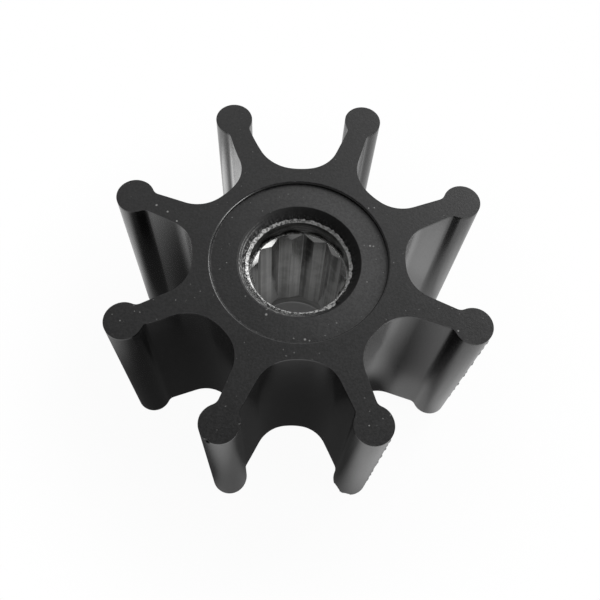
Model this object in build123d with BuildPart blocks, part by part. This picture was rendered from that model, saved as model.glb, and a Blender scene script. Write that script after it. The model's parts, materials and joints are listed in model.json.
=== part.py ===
from build123d import *
import os
from math import asin, atan2, cos, degrees, radians, sin, sqrt

# Flexible pump impeller: a one-piece rubber moulding with straight bead-tipped vanes,
# moulded round a metal insert with a 12-point spline through it.
# Millimetres and degrees. The axis is Z and the lower end face lies on Z = 0.

# Rubber body
vane_count = 8
tip_d = 65.0  # over the beads at the vane tips
body_h = 37.8  # between the two end faces
bead_r = 3.1  # round bead along each vane tip
vane_t = 3.15  # thickness of a vane at the centre of its bead
vane_taper = 3.35  # lean of each flank, so a vane is thicker at its root
neck_r = 1.4  # fillet where a flank runs into its bead
root_r = 6.0  # tight curve at the foot of a vane
valley_r = 17.05  # from the axis to the bottom of a gap
valley_arc_r = 12.0  # flatter curve across the bottom of a gap
edge_break = 0.2  # narrow bevel round both end faces
land_w = 2.75  # flat face left between a gap and the recess
recess_depth = 0.6

# Splined insert
spline_points = 12
spline_major_r = 8.1  # bottom of the grooves, for a 16 mm shaft
tooth_h = 0.8  # height of the spline's teeth
tooth_edge_r = 0.12  # softened corners of the spline
tooth_lead_in = 0.65  # length of the cone at each end of the teeth
spline_turn = 0.4  # angle from a vane to the nearest groove of the spline
insert_set = 2.35  # from an end face of the rubber to the end of the insert
counterbore_depth = 3.9  # from that end to the teeth
counterbore_step = 0.12  # from the bottom of the grooves to the counterbore's wall
rim_w = 0.62  # ring of bare metal that slopes into the counterbore
rim_depth = 0.4
mouth_flare = 1.15  # how far the rubber opens above that ring
insert_wall = 2.9  # from the bottom of the grooves to the outside
insert_chamfer = 0.6
groove_count = 3  # retaining grooves that the rubber fills
groove_pitch = 8.0
groove_w = 2.4
groove_depth = 0.8

# Sizes that follow from them
half_pitch = 180 / vane_count
bead_centre = tip_d / 2 - bead_r
insert_len = body_h - 2 * insert_set
insert_r = spline_major_r + insert_wall
counterbore_r = spline_major_r + counterbore_step
spline_minor_r = spline_major_r - tooth_h
rim_r = counterbore_r + rim_w
mouth_r = rim_r + mouth_flare
recess_r = valley_r - land_w
insert_top_z = body_h - insert_set
recess_z = body_h - recess_depth
teeth_z = insert_top_z - counterbore_depth
mid_height = Plane.XZ.offset(-body_h / 2)  # in the sections, whose second axis is Z

# The foot of a vane. Its flank is a straight line, and two arcs, tangent to it and to
# each other, turn it into the gap. The second one crosses the gap's middle squarely.
lean = radians(vane_taper)
flank_normal = Vector(sin(lean), cos(lean))
flank_inwards = Vector(-cos(lean), sin(lean))
flank_offset = vane_t / 2 * cos(lean) + bead_centre * sin(lean)
valley_centre = Vector(valley_r + valley_arc_r, 0).rotate(Axis.Z, half_pitch)
drop = root_r - valley_centre.dot(flank_normal) + flank_offset
arm = flank_normal * drop + flank_inwards * sqrt((valley_arc_r - root_r) ** 2 - drop**2)
root_centre = valley_centre + arm
flank_angle = -90 - vane_taper
root_angle = degrees(atan2(arm.Y, arm.X))
valley_angle = half_pitch - 180
neck_angle = 180 - degrees(asin(vane_t / 2 * cos(lean) / bead_r)) - vane_taper

# One vane along +X with half of the gap on each side of it
with BuildSketch() as vane_section:
    with BuildLine():
        bead = CenterArc((bead_centre, 0), bead_r, 0, neck_angle)
        root = CenterArc(root_centre, root_r, flank_angle, root_angle - flank_angle)
        Line(bead @ 1, root @ 0)
        valley = CenterArc(valley_centre, valley_arc_r, root_angle, valley_angle - root_angle)
        Polyline(valley @ 1, (0, 0), bead @ 0)
    make_face()
    fillet(vane_section.vertices().sort_by_distance(bead @ 1)[0], neck_r)
    mirror(about=Plane.XZ)

# Half of the insert's outside, which the rubber is moulded against
with BuildSketch(Plane.XZ) as insert_section:
    with Locations((0, insert_set)):
        Rectangle(insert_r, insert_len, align=Align.MIN)
    chamfer(insert_section.vertices().group_by(Axis.X)[-1], insert_chamfer)
    with Locations((insert_r, body_h / 2)):
        with GridLocations(0, groove_pitch, 1, groove_count):
            Rectangle(2 * groove_depth, groove_w, mode=Mode.SUBTRACT)

# What both ends of the rubber leave open: the recess, and the mouth above the insert
with BuildSketch(Plane.XZ) as rubber_ends:
    with BuildLine():
        Polyline((0, body_h), (recess_r, body_h), (recess_r, recess_z), (mouth_r, recess_z),
                 (rim_r, insert_top_z), (0, insert_top_z), close=True)
    make_face()
    mirror(about=mid_height)

# What is turned out of both ends of the insert: the sloping rim, the counterbore and
# the cone that the teeth start with
with BuildSketch(Plane.XZ) as insert_ends:
    with BuildLine():
        Polyline((0, insert_top_z), (rim_r, insert_top_z),
                 (counterbore_r, insert_top_z - rim_depth), (counterbore_r, teeth_z),
                 (spline_major_r, teeth_z), (spline_minor_r, teeth_z - tooth_lead_in),
                 (0, teeth_z - tooth_lead_in), close=True)
    make_face()
    mirror(about=mid_height)

with BuildPart() as rubber_body:
    with BuildSketch():
        with PolarLocations(0, vane_count, start_angle=half_pitch):
            add(vane_section.sketch)
    extrude(amount=body_h)
    chamfer(rubber_body.faces().filter_by(Axis.Z).edges(), edge_break)
    revolve(rubber_ends.sketch, axis=Axis.Z, mode=Mode.SUBTRACT)
    revolve(insert_section.sketch, axis=Axis.Z, mode=Mode.SUBTRACT)
rubber_body.part.label = "rubber_body"

with BuildPart() as splined_insert:
    revolve(insert_section.sketch, axis=Axis.Z)
    # Straight-sided grooves, side by side, leave the sharp teeth of a 12-point spline
    with BuildSketch(Plane.XY.offset(insert_set)) as spline_section:
        tooth_crest = Vector(spline_minor_r, 0).rotate(Axis.Z, -180 / spline_points)
        next_crest = Vector(spline_minor_r, 0).rotate(Axis.Z, 180 / spline_points)
        with PolarLocations(0, spline_points, start_angle=half_pitch + spline_turn):
            Polygon((0, 0), tooth_crest, (spline_major_r, 0), next_crest, align=None)
        fillet(spline_section.vertices(), tooth_edge_r)
    extrude(amount=insert_len, mode=Mode.SUBTRACT)
    revolve(insert_ends.sketch, axis=Axis.Z, mode=Mode.SUBTRACT)
splined_insert.part.label = "splined_insert"

os.makedirs("parts", exist_ok=True)
export_step(rubber_body.part, "parts/rubber_body.step")
export_step(splined_insert.part, "parts/splined_insert.step")
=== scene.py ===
# %% [markdown]
# # A rubber pump impeller
#
# The object is a flexible impeller: eight straight rubber vanes on a hub that is
# moulded round a splined metal insert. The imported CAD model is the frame, and this
# script dresses it. It gives the rubber a finely stepped mesh with softened edges and
# the marks of use, gives both materials their real surface, and lights the whole in a
# plain white studio. Everything is in metres, and the axis of the impeller is Z.

import json
from math import atan2, ceil, cos, pi, radians, sin, sqrt

import bmesh
import bpy
from mathutils import Matrix, Vector, noise

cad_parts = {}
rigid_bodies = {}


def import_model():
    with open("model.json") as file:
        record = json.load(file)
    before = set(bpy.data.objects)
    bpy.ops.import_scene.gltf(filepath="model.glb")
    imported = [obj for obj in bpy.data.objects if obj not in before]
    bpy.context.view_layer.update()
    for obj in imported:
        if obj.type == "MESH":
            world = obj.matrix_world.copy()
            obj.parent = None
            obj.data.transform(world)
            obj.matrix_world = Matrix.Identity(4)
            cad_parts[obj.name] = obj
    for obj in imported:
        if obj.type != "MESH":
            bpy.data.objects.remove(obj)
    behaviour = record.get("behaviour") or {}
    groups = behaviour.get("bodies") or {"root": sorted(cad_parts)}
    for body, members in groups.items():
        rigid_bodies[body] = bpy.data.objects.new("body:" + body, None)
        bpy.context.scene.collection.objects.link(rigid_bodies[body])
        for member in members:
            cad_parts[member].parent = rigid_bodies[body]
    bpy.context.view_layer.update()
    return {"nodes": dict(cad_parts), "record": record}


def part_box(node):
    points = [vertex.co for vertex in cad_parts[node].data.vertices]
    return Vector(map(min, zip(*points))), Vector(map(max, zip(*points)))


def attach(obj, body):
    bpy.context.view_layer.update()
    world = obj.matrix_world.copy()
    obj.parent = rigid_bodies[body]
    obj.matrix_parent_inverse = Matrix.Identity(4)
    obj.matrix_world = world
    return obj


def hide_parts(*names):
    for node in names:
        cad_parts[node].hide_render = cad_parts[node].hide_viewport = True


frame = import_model()
MM = 0.001
print("the frame holds", ", ".join(sorted(frame["nodes"])))

# %% [markdown]
# ## The sizes of the impeller
#
# The height and the reach of the vanes are read from the frame, and so is every size
# that a mount of the record states. The rest are the driving sizes of the moulding.
# They are written once, here, so that each piece below takes its place from them.

# %% Sizes
body_low, body_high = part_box("rubber_body")
insert_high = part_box("splined_insert")[1]
mounts = {mount["name"]: mount for mount in frame["record"]["mounts"]}
HEIGHT = body_high.z - body_low.z
TIP_R = max(v.co.xy.length for v in frame["nodes"]["rubber_body"].data.vertices)
INSERT_R = max(v.co.xy.length for v in frame["nodes"]["splined_insert"].data.vertices)
COUNTERBORE_R = mounts["upper_counterbore"]["dims"]["r_mm"] * MM
COUNTERBORE_WALL = mounts["upper_counterbore"]["dims"]["length_mm"] * MM
INSERT_SET = body_high.z - insert_high.z

VANE_COUNT = 8
HALF_PITCH = pi / VANE_COUNT
BEAD_R = 3.1 * MM
VANE_T = 3.15 * MM
LEAN = radians(3.35)
NECK_R = 1.4 * MM
ROOT_R = 6.0 * MM
VALLEY_R = 17.05 * MM
VALLEY_ARC_R = 12.0 * MM
RECESS_R = 14.3 * MM
RECESS_DEPTH = 0.6 * MM
RIM_W = 0.62 * MM
RIM_R = COUNTERBORE_R + RIM_W
RIM_DEPTH = 0.4 * MM
MOUTH_FLARE = 1.15 * MM
MOUTH_R = RIM_R + MOUTH_FLARE
RIDGE_SHARES = (0.28, 0.52)
RIDGE_AT = [MOUTH_R + (RIM_R - MOUTH_R) * share for share in RIDGE_SHARES]
INSERT_CHAMFER = 0.6 * MM
GROOVE_COUNT = 3
GROOVE_PITCH = 8.0 * MM
GROOVE_W = 2.4 * MM
GROOVE_DEPTH = 0.8 * MM
BEAD_CENTRE = Vector((TIP_R - BEAD_R, 0, 0))
print("height", round(HEIGHT / MM, 2), "mm, over the tips", round(2 * TIP_R / MM, 2), "mm")

# %% [markdown]
# ## The camera
#
# The camera comes first, because it decides what has to be fine and what may be plain.
# Its place, aim, roll and lens were found by matching the outline of the impeller in
# the photograph. It looks steeply down on the upper end face from close by, so the
# vanes lean outwards towards the bottom of the picture.

# %% Camera
CAMERA_PLACE = Vector((-4.11, -57.68, 149.22)) * MM
CAMERA_AIM = Vector((0.10, -7.25, 37.79)) * MM
CAMERA_ROLL = radians(5.40)
CAMERA_LENS = 47.04
CAMERA_SEES = (1 * MM, 20.0)

camera = bpy.data.objects.new("camera", bpy.data.cameras.new("camera"))
bpy.context.scene.collection.objects.link(camera)
camera.data.lens = CAMERA_LENS
camera.data.clip_start, camera.data.clip_end = CAMERA_SEES
look = (CAMERA_AIM - CAMERA_PLACE).to_track_quat("-Z", "Y")
camera.matrix_world = (Matrix.Translation(CAMERA_PLACE) @ look.to_matrix().to_4x4()
                       @ Matrix.Rotation(CAMERA_ROLL, 4, "Z"))
bpy.context.scene.camera = camera
print("camera", round((CAMERA_AIM - CAMERA_PLACE).length / MM, 1), "mm from its aim")

# %% [markdown]
# ## Shader sums written as Python
#
# A node tree is easier to read as a formula. The class below wraps one output socket,
# so that `1 - mask` or `grain * 0.2 + shade` adds the Math nodes by itself. Every other
# node comes from `node`: first its type, then its settings, then what goes into its
# sockets. Colours never go through Math, which would turn them grey, but through `blend`,
# and where a number is to become a grey, `grey` makes it one by Vector Math.

# %% The shader helper
class Shade:
    """One output socket of a node tree."""

    def __init__(self, tree, socket=None):
        self.tree = tree
        self.socket = socket

    def node(self, kind, settings=None, inputs=None, output=0):
        """Adds a node and gives one of its outputs."""
        made = self.tree.nodes.new(kind)
        for name, value in (settings or {}).items():
            setattr(made, name, value)
        for name, value in (inputs or {}).items():
            if isinstance(value, Shade):
                self.tree.links.new(value.socket, made.inputs[name])
            else:
                made.inputs[name].default_value = value
        return Shade(self.tree, made.outputs[output])

    def math(self, operation, *values):
        return self.node("ShaderNodeMath", {"operation": operation}, dict(enumerate(values)))

    def __add__(self, other):
        return self.math("ADD", self, other)

    def __radd__(self, other):
        return self.math("ADD", other, self)

    def __sub__(self, other):
        return self.math("SUBTRACT", self, other)

    def __rsub__(self, other):
        return self.math("SUBTRACT", other, self)

    def __mul__(self, other):
        return self.math("MULTIPLY", self, other)

    def __rmul__(self, other):
        return self.math("MULTIPLY", other, self)

    def larger(self, other):
        return self.math("MAXIMUM", self, other)

    def size(self):
        return self.math("ABSOLUTE", self)

    def between(self, low, high):
        """0 up to low, 1 from high on, and a smooth step from one to the other."""
        return self.node("ShaderNodeMapRange", {"interpolation_type": "SMOOTHSTEP"},
                         {"Value": self, "From Min": low, "From Max": high})

    def blend(self, dark, light):
        """A colour that turns from dark to light as this value goes from 0 to 1."""
        return self.node("ShaderNodeMix", {"data_type": "RGBA"}, {0: self, 6: dark, 7: light},
                         output=2)

    def part(self, index):
        """One component of a vector."""
        return self.node("ShaderNodeSeparateXYZ", {}, {0: self}, output=index)

    def vector_math(self, operation, inputs, output="Value"):
        return self.node("ShaderNodeVectorMath", {"operation": operation}, inputs, output)

    def grey(self):
        """A grey of this brightness, which may pass white."""
        return self.vector_math("SCALE", {0: (1, 1, 1), "Scale": self}, output=0)

    def stretched(self, x, y, z):
        """These coordinates times a factor for each axis."""
        return self.vector_math("MULTIPLY", {0: self, 1: (x, y, z)}, output=0)

    def dot(self, other):
        return self.vector_math("DOT_PRODUCT", {0: self, 1: other})

    def length(self):
        return self.vector_math("LENGTH", {0: self})

    def distance(self, point):
        return self.vector_math("DISTANCE", {0: self, 1: point})

    def noise(self, scale, detail, roughness):
        return self.node("ShaderNodeTexNoise", {}, {"Vector": self, "Scale": scale,
                                                    "Detail": detail, "Roughness": roughness})

    def bump(self, depth, strength):
        """A normal that stands this height, in metres, off the surface."""
        return self.node("ShaderNodeBump", {},
                         {"Height": self, "Distance": depth, "Strength": strength})


def new_material(name):
    """An empty material, its starting Shade and its Principled shader."""
    made = bpy.data.materials.new(name)
    made.use_nodes = True
    tree = made.node_tree
    shader = tree.nodes["Principled BSDF"]
    return made, Shade(tree), shader


def feed(shader, name, value):
    """Joins a Shade to one socket of a shader, or sets a constant on it."""
    if isinstance(value, Shade):
        value.tree.links.new(value.socket, shader.inputs[name])
    else:
        shader.inputs[name].default_value = value


print("the shader helper is ready")

# %% [markdown]
# ## The rubber's finish
#
# The whole body is one black rubber, but it has two surfaces. The end faces are ground
# to length, so they are matt, a little greyer, and full of fine grain. The flanks come
# straight out of the mould. They keep its smooth skin, a film that mirrors the bright
# floor at a grazing angle, so they get a coat. The way a face looks up or down tells
# the two apart, so one material serves both.
#
# The marks are masks, each drawn from the distance to the axis, from a side or from a
# noise. The recess floor gets a painted sheen towards the right. The corner of the recess
# is rubbed grey all round, and on its left a painted highlight makes that line lighter
# still. White dust sits where the photograph shows it, and a little more is scattered by
# a noise. In the mouth, crumbs stick to the fine ridges and to the foot, where the rubber
# was torn, and on the left the ridges are painted white as a highlight along them.

# %% Rubber
DUST_SPOTS = [
    (-23.45, 9.34, 0.21), (-21.56, 8.14, 0.20), (-19.95, 6.42, 0.19), (11.50, 2.91, 0.20),
    (12.05, 2.84, 0.15), (11.42, 9.66, 0.12), (12.38, 9.75, 0.13), (-5.12, -9.56, 0.23),
    (0.90, -13.62, 0.22), (1.60, -13.80, 0.14), (-25.36, -9.66, 0.09), (-27.42, -11.25, 0.13),
    (24.62, -12.00, 0.17), (10.27, -27.18, 0.13), (-11.62, -0.66, 0.10),
]
SKIN_BLACK = (0.004, 0.004, 0.0042, 1)
SKIN_GREY = (0.011, 0.011, 0.0113, 1)
GROUND_DARK = (0.006, 0.006, 0.0062, 1)
GROUND_LIGHT = (0.019, 0.019, 0.0194, 1)
PAINTED_RECESS_SHEEN = (0.062, 0.062, 0.0625, 1)
EDGE_GREY_AND_HIGHLIGHT = (0.09, 0.09, 0.09, 1)
DUST_AND_HIGHLIGHT_WHITE = (0.34, 0.34, 0.335, 1)
GRAIN_SCALE = 2400
CLOUD_SCALE = 160
STREAK_SCALE = 900
DUST_SCALE = 1900
RUBBER_RELIEF = 0.06 * MM
COAT_ROUGHNESS = 0.18
GROUND_FACING = (0.75, 0.95)
RIGHT_FADE = 12 * MM
LEFT_FADE = 8 * MM
BACK_FADE = 15 * MM
RECESS_EDGE = 0.1 * MM
TORN_EDGE = 0.2 * MM
WORN_AND_LIT_WIDTHS = (0.05, 0.3)
RIDGE_WIDTHS = [(0.03, 0.12), (0.03, 0.14)]
FOOT_LITTER = (0.10 * MM, 0.55 * MM)


def ring_mask(across, radius, full, none):
    """1 on a circle round the axis, and 0 from a fraction of a millimetre off it."""
    return 1 - (across - radius).size().between(full * MM, none * MM)


def dust_mask(place, flat):
    """A scatter of faint specks, and the white ones, each at its own place."""
    dust = place.noise(DUST_SCALE, 1, 0.4).between(0.76, 0.80) * 0.5
    for x, y, radius in DUST_SPOTS:
        spot = flat.distance((x * MM, y * MM, 0))
        wide = radius * MM
        dust = dust.larger(1 - spot.between(wide * 0.3, wide * 1.2))
    return dust


def make_rubber():
    made, start, shader = new_material("moulded_rubber")
    place = start.node("ShaderNodeTexCoord", output="Object")
    facing = start.node("ShaderNodeNewGeometry", output="Normal").part(2).size()
    ground = facing.between(*GROUND_FACING)
    grain = place.noise(GRAIN_SCALE, 3, 0.7)
    cloud = place.noise(CLOUD_SCALE, 3, 0.55)
    streak = place.stretched(1, 1, 0.06).noise(STREAK_SCALE, 2, 0.5)
    flat = place.stretched(1, 1, 0)
    across = flat.length()
    right = (place.part(0) * 0.9 + place.part(1) * 0.35).between(-RIGHT_FADE, RIGHT_FADE)
    left = (place.part(0) * -0.85 + place.part(1) * -0.55).between(0, LEFT_FADE)
    back = place.part(1).between(0, BACK_FADE)

    # The ground faces, the recess in them with a painted sheen towards the right, and its rubbed
    # corner with a painted highlight on its left
    tone = (grain * 0.75 + cloud * 0.25).between(0.36, 0.66)
    faces = tone.blend(GROUND_DARK, GROUND_LIGHT)
    recess = 1 - across.between(RECESS_R - RECESS_EDGE, RECESS_R)
    # Painted sheen: the recess floor is painted lighter towards the right.
    faces = (recess * right * (0.5 + 0.5 * tone)).blend(faces, PAINTED_RECESS_SHEEN)
    worn_and_lit_edge = ring_mask(across, RECESS_R, *WORN_AND_LIT_WIDTHS) * grain.between(0.35, 0.6)
    # Painted highlight: the rubbed line round the recess is painted lighter on its left, where
    # light from the right catches the edge.
    faces = (worn_and_lit_edge * (0.35 + left * 0.65)).blend(faces, EDGE_GREY_AND_HIGHLIGHT)
    body = ground.blend(tone.blend(SKIN_BLACK, SKIN_GREY), faces)

    # Crumbs on the ridges and at the foot of the torn mouth, with a painted highlight along the
    # ridges on the left, and dust on the upper face
    torn = 1 - across.between(MOUTH_R, MOUTH_R + TORN_EDGE)
    ridges = ring_mask(across, RIDGE_AT[0], *RIDGE_WIDTHS[0]).larger(
        ring_mask(across, RIDGE_AT[1], *RIDGE_WIDTHS[1]))
    foot = 1 - across.between(RIM_R + FOOT_LITTER[0], RIM_R + FOOT_LITTER[1])
    bits = grain.between(0.50, 0.58)
    # Painted highlight: on the left the ridges are painted white, beside the real crumbs.
    litter_and_highlight = (left * ridges * (0.3 + 0.7 * bits)).larger((0.15 + left * 0.85) * foot * bits)
    on_top = place.part(2).between(HEIGHT - 1.2 * RECESS_DEPTH, HEIGHT - 1.1 * RECESS_DEPTH)
    dust = dust_mask(place, flat) * ground * on_top
    white = dust.larger(torn * litter_and_highlight * 0.85)
    feed(shader, "Base Color", white.blend(body, DUST_AND_HIGHLIGHT_WHITE))

    # The moulded skin is smoother than the rest, and has a coat
    skin = 1 - ground.larger(torn)
    smooth = 0.20 + cloud * 0.05 + streak * 0.05
    rough = (1 - skin) * (0.16 + grain * 0.16) + torn * 0.2 + dust * 0.3
    feed(shader, "Roughness", smooth + rough)
    relief = grain * (0.5 + ground * 0.3 + torn * 0.5) + cloud * 0.3 + streak * skin * 0.12
    feed(shader, "Normal", relief.bump(RUBBER_RELIEF, 0.6))
    feed(shader, "Coat Weight", skin * (0.4 + 0.6 * (1 - right) * back))
    feed(shader, "Coat Roughness", COAT_ROUGHNESS)
    return made


rubber = make_rubber()
print("rubber has", len(rubber.node_tree.nodes), "nodes")

# %% [markdown]
# ## The insert's finish
#
# The insert is machined metal that has lost its shine. The wall above the teeth was
# turned, which leaves fine rings round the axis, and the spline was broached, which
# leaves fine lines along it. Each comes from a noise that is stretched in the direction
# of the cut. The flanks that face the front right are painted lighter than the others,
# a painted highlight as if light reached them down the bore, so they are picked by the
# way they face. The cones at the ends of the teeth are bright too. The rim is crusted
# with dark flakes and rough; on its right and back it has fewer flakes and a painted
# highlight. Towards the lower end the metal is painted darker, as painted shade deep in
# the bore.

# %% Insert metal
METAL_BLACK = (0.10, 0.10, 0.10, 1)
METAL_DARK = (0.13, 0.13, 0.127, 1)
METAL_LIGHT = (0.95, 0.95, 0.94, 1)
PAINTED_LIGHT_SIDE = radians(293)
LINE_SCALE = 1100
RING_SCALE = 3000
STAIN_SCALE = 400
CRUST_SCALE = 2300
METAL_RELIEF = 0.03 * MM
PAINTED_LIGHT_FACING = (0.75, 1.0)
CONE_FACING = (0.3, 0.8)
LATHE_EDGE = 0.1 * MM
CLEAN_AND_LIT_FADE = (3 * MM, 8 * MM)
BORE_SHADE_FADE = (4 * MM, 18 * MM)


def make_metal():
    made, start, shader = new_material("machined_insert")
    place = start.node("ShaderNodeTexCoord", output="Object")
    normal = start.node("ShaderNodeNewGeometry", output="Normal")
    facing = normal.part(2).size()
    stain = place.noise(STAIN_SCALE, 3, 0.6)
    crust = place.noise(CRUST_SCALE, 3, 0.7)

    # Turned above and below the teeth, broached between
    lines = place.stretched(1, 1, 0.02).noise(LINE_SCALE, 3, 0.6)
    rings = place.stretched(0.05, 0.05, 1).noise(RING_SCALE, 2, 0.5)
    teeth_end = insert_high.z - HEIGHT / 2 - RIM_DEPTH - COUNTERBORE_WALL
    off_middle = (place.part(2) - HEIGHT / 2).size()
    on_lathe = off_middle.between(teeth_end - LATHE_EDGE, teeth_end)
    marks = on_lathe * rings + (1 - on_lathe) * lines

    # Painted highlight on the flanks facing the front right, bright where a cutter rubbed, and
    # painted shade towards the lower end
    # Painted highlight: flanks that face this one side are painted lighter.
    load = normal.dot((cos(PAINTED_LIGHT_SIDE), sin(PAINTED_LIGHT_SIDE), 0)).between(*PAINTED_LIGHT_FACING)
    painted_lit_flanks = load * (1 - on_lathe)
    slope = facing.between(*CONE_FACING)
    rim = slope * on_lathe
    # Painted highlight: the rim on the right and back is painted lighter, and has fewer flakes.
    clean_and_lit = (place.part(0) * 0.8 + place.part(1) * 0.6).between(*CLEAN_AND_LIT_FADE)
    # Painted shade: the metal is painted darker towards the lower end of the bore.
    painted_bore_shade = 1 - place.part(2).between(*BORE_SHADE_FADE)
    tone = (stain * 0.3 + marks * 0.7).between(0.38, 0.60)
    tone = (tone * 0.34 + painted_lit_flanks * 0.66).larger(slope * (0.6 + rim * clean_and_lit * 0.4))
    shade = (tone * (1 - painted_bore_shade * 0.6)).blend(METAL_DARK, METAL_LIGHT)

    flakes = rim * (1 - crust.between(0.44, 0.54)) * (1 - clean_and_lit * 0.5)
    feed(shader, "Base Color", flakes.blend(shade, METAL_BLACK))
    feed(shader, "Metallic", 1 - rim * 0.85)
    feed(shader, "Roughness", 0.14 + stain * 0.08 + rim * 0.22)
    feed(shader, "Normal", (marks * 0.2 + rim * crust * 2.6).bump(METAL_RELIEF, 0.6))
    return made


metal = make_metal()
print("insert metal has", len(metal.node_tree.nodes), "nodes")

# %% [markdown]
# ## Drawing the outline of a vane
#
# The section of the rubber is straight lines and arcs, so it can be drawn the way a
# pair of compasses would: the last point of the outline is extruded along a line, or
# spun round the centre of an arc. One half of a vane is enough. Mirroring it gives the
# vane, and a spin with duplicates gives all eight.

# %% Drawing helpers
STEP = 0.35 * MM
FEWEST_STEPS = 4
TOUCH = 0.001 * MM
WELD = 5 * TOUCH


def drawn(bm, point, shift):
    """Extrudes the outline's last point along a line, and gives the new last point."""
    made = bmesh.ops.extrude_vert_indiv(bm, verts=[point])["verts"]
    bmesh.ops.translate(bm, verts=made, vec=shift)
    return made[0]


def turned(bm, point, centre, angle):
    """Spins the outline's last point round a centre, and gives the new last point."""
    steps = max(FEWEST_STEPS, ceil(abs(angle) * (point.co - centre).length / STEP))
    spun = bmesh.ops.spin(bm, geom=[point], cent=centre, axis=(0, 0, 1), angle=angle,
                          steps=steps)
    return next(item for item in spun["geom_last"] if isinstance(item, bmesh.types.BMVert))


def heading(vector):
    return atan2(vector.y, vector.x)


print("arcs get a point every", round(STEP / MM, 2), "mm")

# %% [markdown]
# ## The outline of the star
#
# Half a vane is drawn along X: the bead, its neck, the straight flank, the tight curve
# at the foot and the flatter one across the gap. Each arc starts where the last one
# ends, and its centre follows from the rule that the two touch without a corner.

# %% Outline of the star
def star_outline(bm, z):
    """Draws the closed outline of the body at a height, and gives its edges."""
    up = Vector((0, 0, z))
    normal = Vector((sin(LEAN), cos(LEAN), 0))
    inwards = Vector((-cos(LEAN), sin(LEAN), 0))
    offset = VANE_T / 2 * cos(LEAN) + BEAD_CENTRE.x * sin(LEAN)
    middle = Vector((cos(HALF_PITCH), sin(HALF_PITCH), 0))
    valley = middle * (VALLEY_R + VALLEY_ARC_R)
    drop = ROOT_R - valley.dot(normal) + offset
    arm = normal * drop + inwards * sqrt((VALLEY_ARC_R - ROOT_R) ** 2 - drop ** 2)
    root = valley + arm
    rise = offset + NECK_R - BEAD_CENTRE.dot(normal)
    neck_arm = normal * rise + inwards * sqrt((BEAD_R + NECK_R) ** 2 - rise ** 2)
    neck = BEAD_CENTRE + neck_arm

    point = bm.verts.new(BEAD_CENTRE + Vector((BEAD_R, 0, 0)) + up)
    point = turned(bm, point, BEAD_CENTRE + up, heading(neck_arm))
    point = turned(bm, point, neck + up, heading(-normal) - heading(-neck_arm))
    flank = root - normal * ROOT_R + up - point.co
    steps = ceil(flank.length / (2 * STEP))
    for _ in range(steps):
        point = drawn(bm, point, flank / steps)
    point = turned(bm, point, root + up, heading(arm) - heading(-normal))
    turned(bm, point, valley + up, heading(-middle) - heading(arm))
    bmesh.ops.mirror(bm, geom=bm.verts[:] + bm.edges[:], axis="Y", merge_dist=TOUCH)
    bmesh.ops.rotate(bm, verts=bm.verts, cent=(0, 0, 0),
                     matrix=Matrix.Rotation(HALF_PITCH, 3, "Z"))
    bmesh.ops.spin(bm, geom=bm.verts[:] + bm.edges[:], cent=(0, 0, 0), axis=(0, 0, 1),
                   angle=2 * pi, steps=VANE_COUNT, use_duplicate=True)
    bmesh.ops.remove_doubles(bm, verts=bm.verts, dist=WELD)
    return bm.edges[:]


def raise_walls(bm, edges, depths):
    """Extrudes the outline downwards through a list of depths."""
    for above, below in zip(depths, depths[1:]):
        made = bmesh.ops.extrude_edge_only(bm, edges=edges)["geom"]
        verts = [item for item in made if isinstance(item, bmesh.types.BMVert)]
        bmesh.ops.translate(bm, verts=verts, vec=(0, 0, above - below))
        edges = [item for item in made if isinstance(item, bmesh.types.BMEdge)
                 and all(v in verts for v in item.verts)]


LEVELS = [0.6, 1.4, 3.0, 6.0, 12.0, HEIGHT / MM / 2]
depths = [0] + [level * MM for level in LEVELS]
depths += [HEIGHT - depth for depth in reversed(depths[:-1])]
body_mesh = bmesh.new()
raise_walls(body_mesh, star_outline(body_mesh, body_high.z), depths)
print("walls:", len(body_mesh.faces), "faces in", len(depths) - 1, "rings")

# %% [markdown]
# ## The hub's inside
#
# Everything inside the hub is turned: the recess, the mouth, and the bed of the insert
# with its retaining grooves. So its section is drawn as a chain of points and spun
# round the axis. Where the mould closed on the insert, rubber crept over the metal and
# was torn off. That left a lip with a ragged edge, and two fine ridges on the mouth
# above it. They are in the section too, and their width is worked out for each angle.

# %% The hub's inside
LIP_T = 0.07 * MM
LIP_MOST = 0.55
LIP_WAVE = 0.20
LIP_WAVES_PER_MM = 2.6
LIP_FINE_SHARE = 0.6
LIP_FINER = 2.3
LIP_WIDTHS = [(0, 0.11), (60, 0.15), (95, 0.11), (150, 0.07), (185, 0.12), (215, 0.40),
              (250, 0.42), (272, 0.32), (290, 0.10), (300, -0.22), (309, -0.20), (316, 0.34),
              (340, 0.18), (360, 0.11)]
RIDGE_H = 0.08
RIDGE_SPREAD = 0.07
RIDGE_FADES_AT = -0.2
RIDGE_BASE = 0.7
RIDGE_WAVE = 0.6
SEAM = 0.02 * MM
FACE_W = 0.6 * MM
TURN_STEPS = 400


def lip_width(angle):
    """How far the torn lip reaches over the metal at an angle, in mm."""
    turn = angle / pi * 180 % 360
    for (start, low), (end, high) in zip(LIP_WIDTHS, LIP_WIDTHS[1:]):
        if start <= turn <= end:
            share = (turn - start) / (end - start)
            width = low + (high - low) * share * share * (3 - 2 * share)
    around = Vector((cos(angle), sin(angle), 0)) * (RIM_R / MM * LIP_WAVES_PER_MM)
    torn = noise.noise(around) + LIP_FINE_SHARE * noise.noise(around * LIP_FINER)
    return min(LIP_MOST, width + LIP_WAVE * torn)


def ridge_height(angle):
    """How far the fine ridges stand off the mouth at an angle, in mm."""
    around = Vector((cos(angle), sin(angle), 0.5)) * (MOUTH_R / MM)
    left = 0.5 - 0.5 * cos(angle - RIDGE_FADES_AT)
    return RIDGE_H * left * left * (RIDGE_BASE + RIDGE_WAVE * noise.noise(around))


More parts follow.
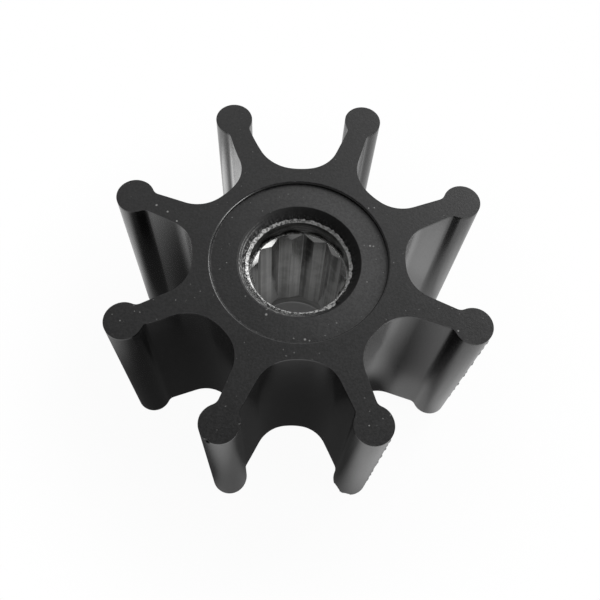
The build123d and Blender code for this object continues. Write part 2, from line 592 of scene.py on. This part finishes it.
def hub_section(angle):
    """Radius and depth of each corner of the hub's inside, from the top down."""
    lip = lip_width(angle) * MM
    lip_r = RIM_R - lip
    metal = INSERT_SET + max(0, lip) * RIM_DEPTH / (RIM_R - COUNTERBORE_R)
    foot_depth = metal - LIP_T
    slope = Vector((lip_r - MOUTH_R, foot_depth - RECESS_DEPTH))
    out = Vector((-slope.y, slope.x)).normalized()
    mouth = [(MOUTH_R, RECESS_DEPTH)]
    for share in RIDGE_SHARES:
        for shift, rise in ((-RIDGE_SPREAD, 0), (0, ridge_height(angle)), (RIDGE_SPREAD, 0)):
            spot = Vector(mouth[0]) + slope * (share + shift) + out * rise * MM
            mouth.append((spot.x, spot.y))
    foot = [(lip_r, foot_depth), (lip_r, metal), (max(RIM_R, lip_r) + SEAM, INSERT_SET)]
    bed = [(INSERT_R - INSERT_CHAMFER, INSERT_SET), (INSERT_R, INSERT_SET + INSERT_CHAMFER)]
    grooves = []
    for k in range(GROOVE_COUNT):
        middle = HEIGHT / 2 + (k - (GROOVE_COUNT - 1) / 2) * GROOVE_PITCH
        top, base = middle - GROOVE_W / 2, middle + GROOVE_W / 2
        grooves += [(INSERT_R, top), (INSERT_R - GROOVE_DEPTH, top),
                    (INSERT_R - GROOVE_DEPTH, base), (INSERT_R, base)]
    lower_end = [(r, HEIGHT - depth) for r, depth in reversed(mouth + foot + bed)]
    face = [(RECESS_R + FACE_W, 0), (RECESS_R, 0), (RECESS_R, RECESS_DEPTH)]
    upper_end = face + mouth + foot + bed
    return upper_end + grooves + lower_end + [(r, HEIGHT - depth) for r, depth in reversed(face)]


def turn_hub(bm):
    """Spins the section into the hub's inside, and tears its lip."""
    corner = bm.verts.layers.int.new("corner")
    section = hub_section(0)
    point = bm.verts.new((section[0][0], 0, body_high.z - section[0][1]))
    chain = [point]
    for (r, depth), (next_r, next_depth) in zip(section, section[1:]):
        point = drawn(bm, point, Vector((next_r - r, 0, depth - next_depth)))
        chain.append(point)
    edges = [bm.edges.get(pair) for pair in zip(chain, chain[1:])]
    before = len(bm.verts) - len(chain)
    for index, vert in enumerate(chain):
        vert[corner] = index + 1
    bmesh.ops.spin(bm, geom=chain + edges, cent=(0, 0, 0), axis=(0, 0, 1), angle=2 * pi,
                   steps=TURN_STEPS, use_merge=True)
    for vert in bm.verts:
        if vert[corner]:
            angle = heading(vert.co)
            r, depth = hub_section(angle)[vert[corner] - 1]
            vert.co = Vector((r * cos(angle), r * sin(angle), body_high.z - depth))
    bm.verts.layers.int.remove(corner)
    return len(bm.verts) - before


hub_points = turn_hub(body_mesh)
print("hub:", hub_points, "points on", len(hub_section(0)), "circles")
widths = [lip_width(radians(angle)) for angle in range(360)]
print("the torn lip is", round(min(widths), 2), "to", round(max(widths), 2), "mm wide")

# %% [markdown]
# ## The end faces
#
# The star and the hub now share two flat rings, one at each end. Their borders are the
# only open edges at those heights, so one fill closes each face, and the body is one
# closed shell, as the moulding is one piece.

# %% The end faces
def close_face(bm, z):
    """Fills the flat ring between the star and the recess at a height."""
    rims = [e for e in bm.edges if len(e.link_faces) == 1
            and all(abs(v.co.z - z) < TOUCH for v in e.verts)]
    bmesh.ops.triangle_fill(bm, use_beauty=True, edges=rims)


close_face(body_mesh, body_high.z)
close_face(body_mesh, body_low.z)
bmesh.ops.recalc_face_normals(body_mesh, faces=body_mesh.faces)
print("rubber body:", len(body_mesh.faces), "faces, open edges:",
      sum(len(e.link_faces) != 2 for e in body_mesh.edges))

# %% [markdown]
# ## Bent vanes
#
# Rubber vanes never stand quite true. Each one in the photograph leans a few tenths of
# a millimetre to one side, and the far left one is bowed as well. A lean grows with the
# square of the way out from the hub, as a bent strip does, so the foot of the vane stays
# where it is. The vanes are only ever drawn in, never out, to keep to the model's box.

# %% Bent vanes
VANE_SHAPES = [(-0.04, 0.04, 0), (-0.13, 0.30, 0), (-0.12, 0.23, 0.28), (-0.19, 0.19, 0),
               (-0.19, 0.08, 0), (0.10, -0.36, 0), (-0.13, -0.22, 0), (-0.06, 0.10, 0)]


def bend_vanes(bm):
    """Moves each vane along its length, to its side, and bows its middle."""
    for vert in bm.verts:
        number = int(heading(vert.co) / (2 * HALF_PITCH) % VANE_COUNT)
        along, across, bow = VANE_SHAPES[number]
        out = Matrix.Rotation(HALF_PITCH * (2 * number + 1), 3, "Z") @ Vector((1, 0, 0))
        side = Vector((-out.y, out.x, 0))
        share = (vert.co.dot(out) - VALLEY_R) / (BEAD_CENTRE.x - VALLEY_R)
        share = min(1, max(0, share))
        lean = across * share ** 2 + bow * sin(pi * share) ** 2
        vert.co += (out * along * share + side * lean) * MM


bend_vanes(body_mesh)
print("vanes lean by up to", max(abs(across) for along, across, bow in VANE_SHAPES), "mm")

# %% [markdown]
# ## Soft edges
#
# A moulded and ground edge is never sharp. The corners round both end faces, round the
# recess and round the mouth get a bevel of three segments, wide enough to catch a thin
# line of light. The recess has the softest corner, as the photograph shows.

# %% Soft edges
EDGE_SOFT = 0.26 * MM
RECESS_SOFT = 0.35 * MM
MOUTH_SOFT = 0.12 * MM
SHARP = radians(40)
HAIR = 0.03 * MM


def corners(bm, wanted):
    """The sharp corners whose two ends both answer the question."""
    return [e for e in bm.edges if len(e.link_faces) == 2 and e.calc_face_angle() > SHARP
            and all(wanted(v.co) for v in e.verts)]


def soften(bm, edges, width):
    bmesh.ops.bevel(bm, geom=edges, offset=width, offset_type="OFFSET", segments=3,
                    profile=0.5, affect="EDGES", material=-1, clamp_overlap=True)
    return len(edges)


def on_end(co):
    return min(abs(co.z - body_high.z), abs(co.z - body_low.z)) < TOUCH


def on_recess(co):
    return on_end(co) and abs(co.xy.length - RECESS_R) < HAIR


def on_mouth(co):
    return abs(co.xy.length - MOUTH_R) < HAIR


recess_edges = soften(body_mesh, corners(body_mesh, on_recess), RECESS_SOFT)
end_edges = soften(body_mesh, corners(body_mesh, on_end), EDGE_SOFT)
mouth_edges = soften(body_mesh, corners(body_mesh, on_mouth), MOUTH_SOFT)
print("softened", recess_edges, "recess edges,", end_edges, "end edges and",
      mouth_edges, "mouth edges")

# %% [markdown]
# ## Chips and flash
#
# The photograph shows a nick in the upper edge of the near left bead, and two pieces
# torn from the lower end of the near right one. The two near beads on the right also
# carry crumbs of flash, where rubber was pressed into the parting line of the mould. A
# rough pebble stands for each of them: an icosphere that a noise has dented. One boolean
# takes the chips out of the body, and another joins the flash to it.

# %% Chips and flash
CHIPS = [(-13.4, -29.85, 37.4, 0.62, 0.85), (8.1, -29.1, 0.1, 1.05, 1.3),
         (10.2, -30.5, -0.1, 0.85, 1.0)]
FLASH_LINES = [(6, -28, -0.5), (7, -35, 0.5)]
FLASH = [(34.8, 0.42), (32.3, 0.30), (29.9, 0.45), (24.9, 0.50), (20.6, 0.36), (19.0, 0.44),
         (14.0, 0.50), (11.1, 0.30), (7.2, 0.46)]
FLASH_RISE = 0.10
FLASH_TALL = 2.4
PEBBLE_DENT = 0.25
DENTS_PER_MM = 1.7


def pebbles(stones):
    """Rough stones, each a place, a width and a height in mm, in one mesh."""
    bm = bmesh.new()
    for x, y, z, size, tall in stones:
        middle = Vector((x, y, z)) * MM
        made = bmesh.ops.create_icosphere(bm, subdivisions=3, radius=size * MM)["verts"]
        bmesh.ops.scale(bm, verts=made, vec=(1, 1, tall / size))
        for vert in made:
            dent = 1 + PEBBLE_DENT * noise.noise((vert.co + middle) / MM * DENTS_PER_MM)
            vert.co = middle + vert.co * dent
    return bm


def flash_crumbs():
    """Crumbs along a line of each bead that carries flash, sunk into its side."""
    crumbs = []
    for number, turn, raised in FLASH_LINES:
        axis = Matrix.Rotation(HALF_PITCH * (2 * number + 1), 3, "Z") @ BEAD_CENTRE / MM
        shift = VANE_SHAPES[number]
        out = axis.normalized()
        axis += out * shift[0] + Vector((-out.y, out.x, 0)) * shift[1]
        side = Vector((cos(radians(turn)), sin(radians(turn)), 0))
        for z, size in FLASH:
            spot = axis + side * (BEAD_R / MM + FLASH_RISE - size)
            crumbs.append((spot.x, spot.y, z + raised, size, size * FLASH_TALL))
    return crumbs


def as_object(bm, name):
    mesh = bpy.data.meshes.new(name)
    bm.to_mesh(mesh)
    bm.free()
    piece = bpy.data.objects.new(name, mesh)
    bpy.context.scene.collection.objects.link(piece)
    return piece


def worked(bm, steps):
    """Cuts meshes out of a closed mesh or joins them to it, and gives the result."""
    blank = as_object(bm, "blank")
    tools = []
    for operation, tool_mesh in steps:
        tools.append(as_object(tool_mesh, "tool"))
        work = blank.modifiers.new("work", "BOOLEAN")
        work.operation = operation
        work.solver = "EXACT"
        work.object = tools[-1]
    graph = bpy.context.evaluated_depsgraph_get()
    result = bmesh.new()
    result.from_object(blank, graph)
    for used in [blank] + tools:
        bpy.data.objects.remove(used)
    return result


faces_before = len(body_mesh.faces)
crumbs = flash_crumbs()
body_mesh = worked(body_mesh, [("DIFFERENCE", pebbles(CHIPS)), ("UNION", pebbles(crumbs))])
print("chips:", len(CHIPS), "crumbs:", len(crumbs), "faces:", faces_before, "to",
      len(body_mesh.faces), "open edges:", sum(len(e.link_faces) != 2 for e in body_mesh.edges))

# %% [markdown]
# ## The finished body
#
# Faces are shaded smooth up to each real corner, which is marked sharp. A weighted
# normal keeps the large flat faces flat in spite of the narrow bevels round them. The
# piece then takes the place of its CAD node.

# %% The finished body
FLAT = radians(0.1)
UPRIGHT = 0.9999
AREA_WEIGHT = 100


def finish_mesh(bm, name, material):
    """Turns a bmesh into an object with smooth faces and sharp corners."""
    bmesh.ops.recalc_face_normals(bm, faces=bm.faces)
    for edge in bm.edges:
        edge.smooth = len(edge.link_faces) == 2 and edge.calc_face_angle() < SHARP
    for face in bm.faces:
        face.smooth = True
    piece = as_object(bm, name)
    piece.data.materials.append(material)
    return piece


bmesh.ops.remove_doubles(body_mesh, verts=body_mesh.verts, dist=2 * TOUCH)
inner = [e for e in body_mesh.edges if on_end(e.verts[0].co) and on_end(e.verts[1].co)
         and len(e.link_faces) == 2 and all(abs(f.normal.z) > UPRIGHT for f in e.link_faces)]
bmesh.ops.dissolve_limit(body_mesh, angle_limit=FLAT, verts=[], edges=inner)
print("flat faces left:", sum(all(on_end(v.co) for v in f.verts) for f in body_mesh.faces))
body = finish_mesh(body_mesh, "rubber_star", rubber)
weighted = body.modifiers.new("even_shading", "WEIGHTED_NORMAL")
weighted.keep_sharp = True
weighted.weight = AREA_WEIGHT
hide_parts("rubber_body")
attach(body, "root")
print("finished body:", len(body.data.polygons), "faces")

# %% [markdown]
# ## The insert
#
# The spline is already right in the frame: twelve sharp teeth with a cone turned across
# their ends. It keeps its own mesh and only gets its metal.

# %% Insert
insert = frame["nodes"]["splined_insert"]
insert.data.materials.clear()
insert.data.materials.append(metal)
print("insert:", len(insert.data.polygons), "faces")

# %% [markdown]
# ## The studio floor
#
# The photograph has a pure white background, but its flanks mirror a floor that is in
# the object's own shade: bright on the right and behind, and almost black in the gaps
# in front. So the floor is a white one that is lifted to plain white where the camera
# sees it, and still shows a faint shadow. In mirrors it has a map of its own: a painted
# dark oval of shade to the left front of the hub, white all round it, and a few painted
# patches of light where light falls between the vanes. The bore shows a dark floor, so
# under the hub it stays dim, with a faint painted glow that the metal in the bore mirrors.

# %% Floor
FLOOR_SIZE = 6.0
FLOOR_GAP = 0.02 * MM
FLOOR_WHITE = (0.88, 0.88, 0.88, 1)
FLOOR_ROUGHNESS = 0.9
FLOOR_LIFT = 0.96
BORE_LIFT = 0.05
BORE_GLOW = 0.15
MIRROR_WHITE = 0.66
MIRROR_SHADE = 0.05
SHADE_CENTRE = (-11, -11.5)
SHADE_SQUASH = 1.36
SHADE_REACH = (26.5, 44)
LIGHT_PATCHES = [(-29, 27, 12, 1.6), (39, 3, 14, 0.9), (33, -20, 13, 0.76), (22.8, -12.6, 6.5, 0.5),
         (-9, -33, 11, 0.19)]
LIGHT_PATCH_CORE = 0.4
HUB_SHADE_R = (9.0 * MM, 11.7 * MM)
NEAR_FLOOR_R = 37 * MM
FAR_FLOOR_R = 68 * MM


def rays(start):
    """Two switches: for what the camera sees itself, and for what it sees in a mirror."""
    seen = start.node("ShaderNodeLightPath", output="Is Camera Ray")
    mirrored = (start.node("ShaderNodeLightPath", output="Is Glossy Ray")
                + start.node("ShaderNodeLightPath", output="Is Transmission Ray"))
    return seen, mirrored


def mirror_map(place):
    """The floor's brightness in mirrors: white, less a painted dark oval of shade, plus painted
    patches of light.
    """
    centre_x, centre_y = SHADE_CENTRE
    centre = (centre_x * MM, centre_y * MM * SHADE_SQUASH, body_low.z)
    oval = place.stretched(1, SHADE_SQUASH, 1).distance(centre)
    lit = oval.between(SHADE_REACH[0] * MM, SHADE_REACH[1] * MM)
    bright = lit * (MIRROR_WHITE - MIRROR_SHADE) + MIRROR_SHADE
    # Painted light: each patch is a pool of light painted on the floor for mirrors.
    for x, y, reach, glow in LIGHT_PATCHES:
        patch_distance = place.distance((x * MM, y * MM, body_low.z))
        bright = bright.larger((1 - patch_distance.between(reach * MM * LIGHT_PATCH_CORE, reach * MM)) * glow)
    return bright


def make_floor():
    bm = bmesh.new()
    bmesh.ops.create_grid(bm, x_segments=1, y_segments=1, size=FLOOR_SIZE / 2)
    bmesh.ops.translate(bm, verts=bm.verts, vec=(0, 0, body_low.z - FLOOR_GAP))
    made, start, shader = new_material("white_floor")
    feed(shader, "Base Color", FLOOR_WHITE)
    feed(shader, "Roughness", FLOOR_ROUGHNESS)
    feed(shader, "Specular IOR Level", 0.0)
    place = start.node("ShaderNodeTexCoord", output="Object")
    seen, mirrored = rays(start)
    bore = 1 - place.length().between(*HUB_SHADE_R)
    far = place.length().between(NEAR_FLOOR_R, FAR_FLOOR_R)
    direct = seen * (1 - bore) * (FLOOR_LIFT + far * (1 - FLOOR_LIFT))
    # Painted glow: under the hub the floor glows faintly for the camera, and more in mirrors, to
    # light the bore.
    lift = direct + mirrored * (1 - bore) + bore * (seen * BORE_LIFT + mirrored * BORE_GLOW)
    glow = (1 - mirrored * (1 - bore) * (1 - mirror_map(place))).grey()
    white = start.node("ShaderNodeEmission", {}, {"Color": glow, "Strength": 1.0})
    plain = Shade(start.tree, shader.outputs[0])
    mixed = start.node("ShaderNodeMixShader", {}, {0: lift, 1: plain, 2: white})
    output = start.tree.nodes["Material Output"]
    start.tree.links.new(mixed.socket, output.inputs["Surface"])
    floor = finish_mesh(bm, "floor", made)
    return floor


floor = make_floor()
print("the floor is", FLOOR_SIZE, "m wide")

# %% [markdown]
# ## The surround and the lamps
#
# The surround is plain white for the camera. Mirrors see a backdrop that is light near
# the horizon and dim overhead, so that the flat top stays dark as in the photograph.
# Six soft lamps do the rest. The key stands on the right, and draws the shadow in the
# recess. A low one beside it lights the near beads, and a large one behind gives the
# top its grey. Three weak ones are there for the metal: they light the white facets on
# the left of the spline, the grey ones at its top, and those on its right.

# %% World and lamps
BACKDROP_TOP = 0.10
DIM_FROM = 0.45
BACKDROP = 0.6
CEILING = 0.03
LAMP_REACH = 0.5


def make_world():
    world = bpy.data.worlds.new("white_surround")
    world.use_nodes = True
    tree = world.node_tree
    start = Shade(tree)
    height = start.node("ShaderNodeTexCoord", output="Generated").part(2)
    seen, mirrored = rays(start)
    backdrop = BACKDROP - height.between(BACKDROP_TOP, DIM_FROM) * (BACKDROP - CEILING)
    strength = seen + mirrored * backdrop
    background = tree.nodes["Background"]
    background.inputs["Color"].default_value = (1, 1, 1, 1)
    tree.links.new(strength.socket, background.inputs["Strength"])
    bpy.context.scene.world = world


def soft_lamp(name, turn, rise, wide, tall, power):
    """A soft lamp aimed at the hub, from a compass turn and a rise in degrees."""
    turn, rise = radians(turn), radians(rise)
    out = Vector((cos(turn) * cos(rise), sin(turn) * cos(rise), sin(rise)))
    hub = Vector((0, 0, HEIGHT))
    lamp = bpy.data.objects.new(name, bpy.data.lights.new(name, "AREA"))
    lamp.data.shape = "RECTANGLE"
    lamp.data.size = wide
    lamp.data.size_y = tall
    lamp.data.energy = power
    bpy.context.scene.collection.objects.link(lamp)
    lamp.rotation_mode = "QUATERNION"
    lamp.location = hub + out * LAMP_REACH
    lamp.rotation_quaternion = out.to_track_quat("Z", "Y")
    return lamp


make_world()
soft_lamp("right_key", turn=44, rise=25, wide=0.24, tall=0.34, power=1.9)
soft_lamp("low_right", turn=-17, rise=10, wide=0.30, tall=0.18, power=1.3)
soft_lamp("behind", turn=96, rise=45, wide=0.60, tall=0.46, power=0.85)
soft_lamp("front_top", turn=270, rise=54, wide=0.30, tall=0.36, power=0.05)
soft_lamp("left_card", turn=212, rise=43, wide=0.50, tall=0.30, power=0.075)
soft_lamp("glint", turn=-13, rise=28, wide=0.50, tall=0.20, power=0.50)

# %% [markdown]
# ## The picture settings
#
# Colours should come out as they are written, so the view transform is Standard. The
# dressed object has to lie inside the box of the model, because the vanes were only
# drawn in and nothing was built outwards.

# %% Picture settings
bpy.context.scene.view_settings.view_transform = "Standard"
